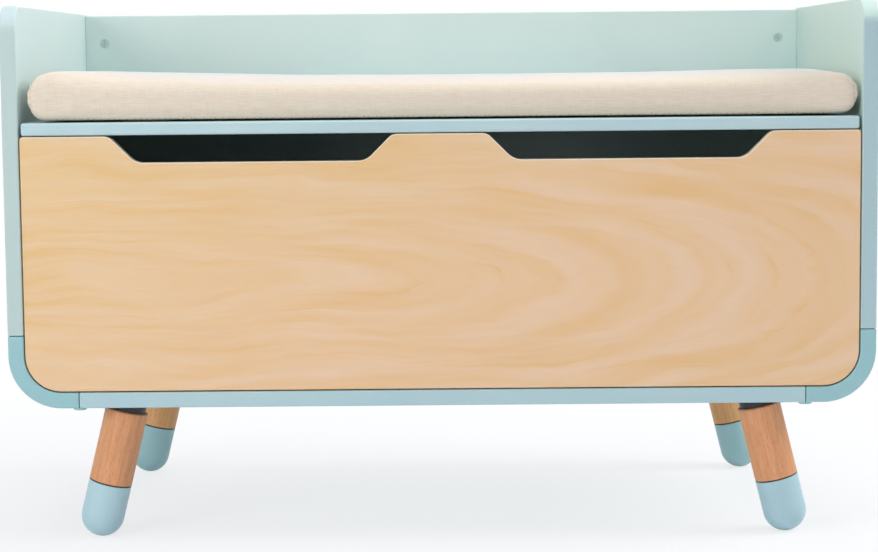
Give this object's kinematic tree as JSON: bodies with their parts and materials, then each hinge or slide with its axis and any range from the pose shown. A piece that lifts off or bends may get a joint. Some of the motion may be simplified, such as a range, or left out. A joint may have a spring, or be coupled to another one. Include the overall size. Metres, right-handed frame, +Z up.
{
  "type": "toy box",
  "caption": "Wooden toy box and bench: painted frame with bent lower corners, bare wood front with hand cut-outs, hinged seat lid with cushion, splayed beech legs.",
  "frame": {"origin": "on the floor, at the centre of the footprint", "axes": "+X to the right seen from the front, +Y to the back, +Z up"},
  "size_m": [0.82, 0.41, 0.51],
  "materials": {
    "mint_paint": "satin mint paint on board",
    "front_wood": "clear satin lacquer on pale veneer",
    "beech": "clear matt lacquer on turned beech",
    "pine": "planed",
    "dark_plate": "black powder coat",
    "zinc_steel": "zinc plated",
    "cushion_cover": "plain woven cotton and linen",
    "grip_tape": "hook and loop tape",
    "bumper": "clear silicone"
  },
  "bodies": {
    "cabinet": {"side_panel_left": "mint_paint", "side_panel_right": "mint_paint", "corner_left": "mint_paint", "corner_right": "mint_paint", "bottom_panel": "mint_paint", "back_panel": "mint_paint", "cam_discs": "zinc_steel", "cam_bolts": "zinc_steel", "corner_dowels": "beech", "seam_caps": "mint_paint", "front_panel": "front_wood", "front_batten_left": "pine", "front_batten_right": "pine", "floor_batten": "pine", "lid_cleat_left": "pine", "lid_cleat_right": "pine", "lid_bumpers": "bumper", "rear_seat_rail": "mint_paint", "hinge_left_rail_leaf": "zinc_steel", "hinge_right_rail_leaf": "zinc_steel", "hinge_left_pin": "zinc_steel", "hinge_right_pin": "zinc_steel", "hanger_bolts": "zinc_steel", "leg_plate_front_left": "dark_plate", "leg_plate_front_right": "dark_plate", "leg_plate_rear_left": "dark_plate", "leg_plate_rear_right": "dark_plate", "leg_front_left": "beech", "leg_front_right": "beech", "leg_rear_left": "beech", "leg_rear_right": "beech", "foot_front_left": "mint_paint", "foot_front_right": "mint_paint", "foot_rear_left": "mint_paint", "foot_rear_right": "mint_paint"},
    "lid": {"seat_lid": "mint_paint", "hinge_left_lid_leaf": "zinc_steel", "hinge_right_lid_leaf": "zinc_steel", "lid_hook_strips": "grip_tape"},
    "cushion": {"seat_cushion": "cushion_cover", "cushion_loop_strips": "grip_tape"}
  },
  "joints": [
    {"name": "lid_hinge", "type": "hinge", "parent": "cabinet", "child": "lid", "pos_m": [0, 0.14, 0.402], "axis": [-1, 0, 0], "range_deg": [0, 90]},
    {"name": "cushion_slide", "type": "slide", "parent": "lid", "child": "cushion", "axis": [0, -1, 0], "range_m": [0, 0.335]}
  ]
}
